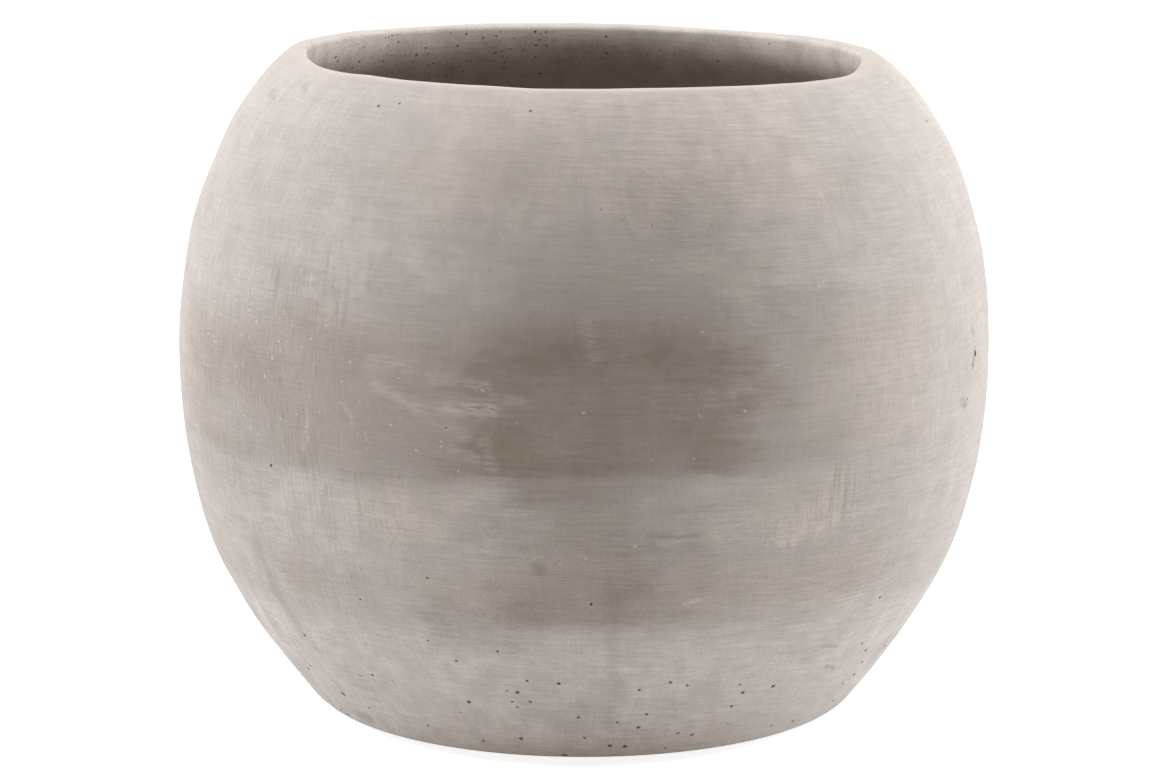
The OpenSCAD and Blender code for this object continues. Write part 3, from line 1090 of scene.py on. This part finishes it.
# %% Section of the plug
def rib(z):
    """One sealing rib, with a rounded crest."""
    return [Vector((SHANK_R, 0, z - 0.0010)), Vector((RIB_R - 0.0002, 0, z - 0.0003)),
            Vector((RIB_R, 0, z)), Vector((RIB_R - 0.0002, 0, z + 0.0003)),
            Vector((SHANK_R, 0, z + 0.0010))]


def on_flange(from_edge, rise):
    """A point over the flange, in from its edge."""
    return Vector((FLANGE_R - from_edge, 0, FLOOR_Z + rise))


plug_outline = (
    line(0, FLOOR_Z, PLUG_HOLLOW_R - SOFT_EDGE, FLOOR_Z, 2)
    + arc(PLUG_HOLLOW_R - SOFT_EDGE, FLOOR_Z - SOFT_EDGE, SOFT_EDGE, 90, 0, 4)
    + arc(PLUG_HOLLOW_R + SHARP_EDGE, PLUG_Z + SHARP_EDGE, SHARP_EDGE, 180, 270, 3)
    + arc(SHANK_R - PLAIN_EDGE, PLUG_Z + PLAIN_EDGE, PLAIN_EDGE, -90, 0, 4)
    + [point for level in RIB_LEVELS for point in rib(PLUG_Z + level)]
    + line(SHANK_R, FLOOR_Z, FLANGE_R - SEAL_EDGE, FLOOR_Z, 3)
    + arc(FLANGE_R - SEAL_EDGE, FLOOR_Z + SEAL_EDGE, SEAL_EDGE, -80, 0, 3)
    + arc(FLANGE_R - FLANGE_EDGE, FLOOR_Z + FLANGE_EDGE, FLANGE_EDGE, 0, 90, 6)
    + [on_flange(0.0045, 0.004), on_flange(0.0050, 0.0036),     # a groove round its top
       on_flange(0.0058, 0.0036), on_flange(0.0063, 0.004)]
    + arc(NECK_R + SOFT_EDGE, FLOOR_Z + 0.005, SOFT_EDGE, 270, 180, 4)
    + arc(NECK_R + PLAIN_EDGE, GRIP_Z - PLAIN_EDGE, PLAIN_EDGE, 180, 90, 3)
    + arc(GRIP_R - PLAIN_EDGE, GRIP_Z + PLAIN_EDGE, PLAIN_EDGE, -90, 0, 4)
    + arc(GRIP_R - GRIP_EDGE, plug_high.z - GRIP_EDGE, GRIP_EDGE, 0, 90, 6)
    + bezier(Vector((GRIP_R - 0.0038, 0, plug_high.z)), Vector((0.004, 0, plug_high.z)),
             Vector((0.002, 0, plug_high.z - DISH)), Vector((0, 0, plug_high.z - DISH)), 6)
)

# %% Drain plug
plug = turned("rubber_drain_plug", plug_outline, 96, closed=False)
bpy.ops.object.shade_smooth_by_angle(angle=math.radians(40))

# %% [markdown]
# ## Foot pads
#
# Each pad is a stick-on disc of rubber. One is modelled from a cylinder: round edges at the
# floor, and a shallow tread of inset rings underneath. The others are copies.

# %% First foot pad
PAD_NODES = ("foot_pad_1", "foot_pad_2", "foot_pad_3", "foot_pad_4")
pad_low, pad_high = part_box(PAD_NODES[0])
pad_middle = (pad_low + pad_high) / 2
PAD_R = (pad_high.x - pad_low.x) / 2
PAD_H = pad_high.z - pad_low.z
PAD_EDGE = 0.0008
GLUED_EDGE = 0.0003
TREAD_BORDER = 0.0022
TREAD_SINK = 0.0005
RING_WIDTH = 0.0028
RING_STEP = 0.0004
NEAR = 0.0001               # how close to a plane a face has to be
deselect()
bpy.ops.mesh.primitive_cylinder_add(vertices=72, radius=PAD_R, depth=PAD_H, location=pad_middle)
pad = bpy.context.object
bpy.ops.object.transform_apply()


def select_faces(piece, test):
    """Go to edit mode with the faces selected whose middle passes a test."""
    select_where(piece, lambda place: False)
    bpy.ops.mesh.select_mode(type="FACE")
    bpy.ops.object.mode_set(mode="OBJECT")
    for face in piece.data.polygons:
        face.select = test(face.center)
    bpy.ops.object.mode_set(mode="EDIT")


select_faces(pad, lambda middle: middle.z < pad_low.z + NEAR)
bpy.ops.mesh.bevel(offset=PAD_EDGE, segments=4)
select_faces(pad, lambda middle: middle.z < pad_low.z + NEAR / 10)
bpy.ops.mesh.inset(thickness=TREAD_BORDER)
bpy.ops.mesh.inset(thickness=RING_STEP, depth=-TREAD_SINK)
for step in (RING_STEP, -RING_STEP, RING_STEP):
    bpy.ops.mesh.inset(thickness=RING_WIDTH)
    bpy.ops.mesh.inset(thickness=RING_STEP, depth=step)
select_faces(pad, lambda middle: middle.z > pad_high.z - NEAR)
bpy.ops.mesh.bevel(offset=GLUED_EDGE, segments=2)
activate(pad)
bpy.ops.object.shade_smooth_by_angle(angle=math.radians(40))
print("one pad has", len(pad.data.polygons), "faces")

# %% The four pads
pads = [pad]
for node in PAD_NODES[1:]:
    low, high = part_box(node)
    piece = copy_of(pad)
    piece.location = (low + high) / 2 - pad_middle
    activate(piece)
    bpy.ops.object.transform_apply()
    pads.append(piece)
for piece, node in zip(pads, PAD_NODES):
    piece.name = "rubber_" + node

# %% [markdown]
# ## Rubber
#
# Plug and pads share one look: dark rubber with the satin of a mould, a fine grain with
# specks of dust in it, and pale cement dust wherever a face looks up. The group gives the
# colour, roughness and relief. The two materials differ in tone and in dust.

# %% Group: dusty rubber
CEMENT_DUST = (0.46, 0.42, 0.37, 1)
nodes, given, gives = new_group("dusty rubber", {
    "Position": None, "Normal": None, "Tone": 0.03, "Dust": 0.5},
    {"Color": "Color", "Roughness": "Float", "Relief": "Float"})
mottle = nodes.noise(given["Position"], 0.006, 4, 0.6)
fine_grain = nodes.noise(given["Position"], 0.0005, 2, 0.6)
tone = nodes.times(given["Tone"], nodes.times_plus(mottle, 0.5, 0.75))
rubber_colour = nodes.add("CombineColor", {0: tone, 1: tone, 2: nodes.times(tone, 1.02)})
upward = nodes.vector("DOT_PRODUCT", given["Normal"], (0, 0, 1), out=1)
lying = nodes.times(nodes.fade(upward, 0.2, 1.0),
                    nodes.fade(nodes.noise(given["Position"], 0.004, 5, 0.7), 0.42, 0.66))
speck = nodes.fade(fine_grain, 0.66, 0.72)
dust = nodes.times(given["Dust"], nodes.math("MAXIMUM", lying, nodes.times(speck, 0.4)))
satin = nodes.times_plus(mottle, 0.16, 0.44)
nodes.feed(gives["Color"], nodes.mix(dust, rubber_colour, CEMENT_DUST))
nodes.feed(gives["Roughness"], nodes.times_plus(dust, 0.35, satin))
nodes.feed(gives["Relief"], nodes.math("ADD", nodes.times(fine_grain, 0.4), nodes.times(dust, 0.6)))
dusty_rubber = nodes.tree


# %% Rubber materials
def rubber(name, tone, dust):
    made, nodes, surface = new_material(name)
    coordinates = nodes.coordinates()
    look = nodes.group(dusty_rubber, {"Position": coordinates["Object"],
                                      "Normal": coordinates["Normal"], "Tone": tone, "Dust": dust})
    nodes.feed(surface["Base Color"], look["Color"])
    nodes.feed(surface["Roughness"], look["Roughness"])
    nodes.feed(surface["Normal"], nodes.add("Bump", {
        "Height": look["Relief"], "Strength": 1.0, "Distance": 0.0002}))
    return made


plug.data.materials.append(rubber("plug rubber", 0.035, 0.30))
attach(plug, "plug")
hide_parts("drain_plug")
pad_look = rubber("pad rubber", 0.022, 0.25)
for piece, node in zip(pads, PAD_NODES):
    piece.data.materials.clear()
    piece.data.materials.append(pad_look)
    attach(piece, "planter")
    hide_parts(node)
print("pads:", [piece.name for piece in pads])
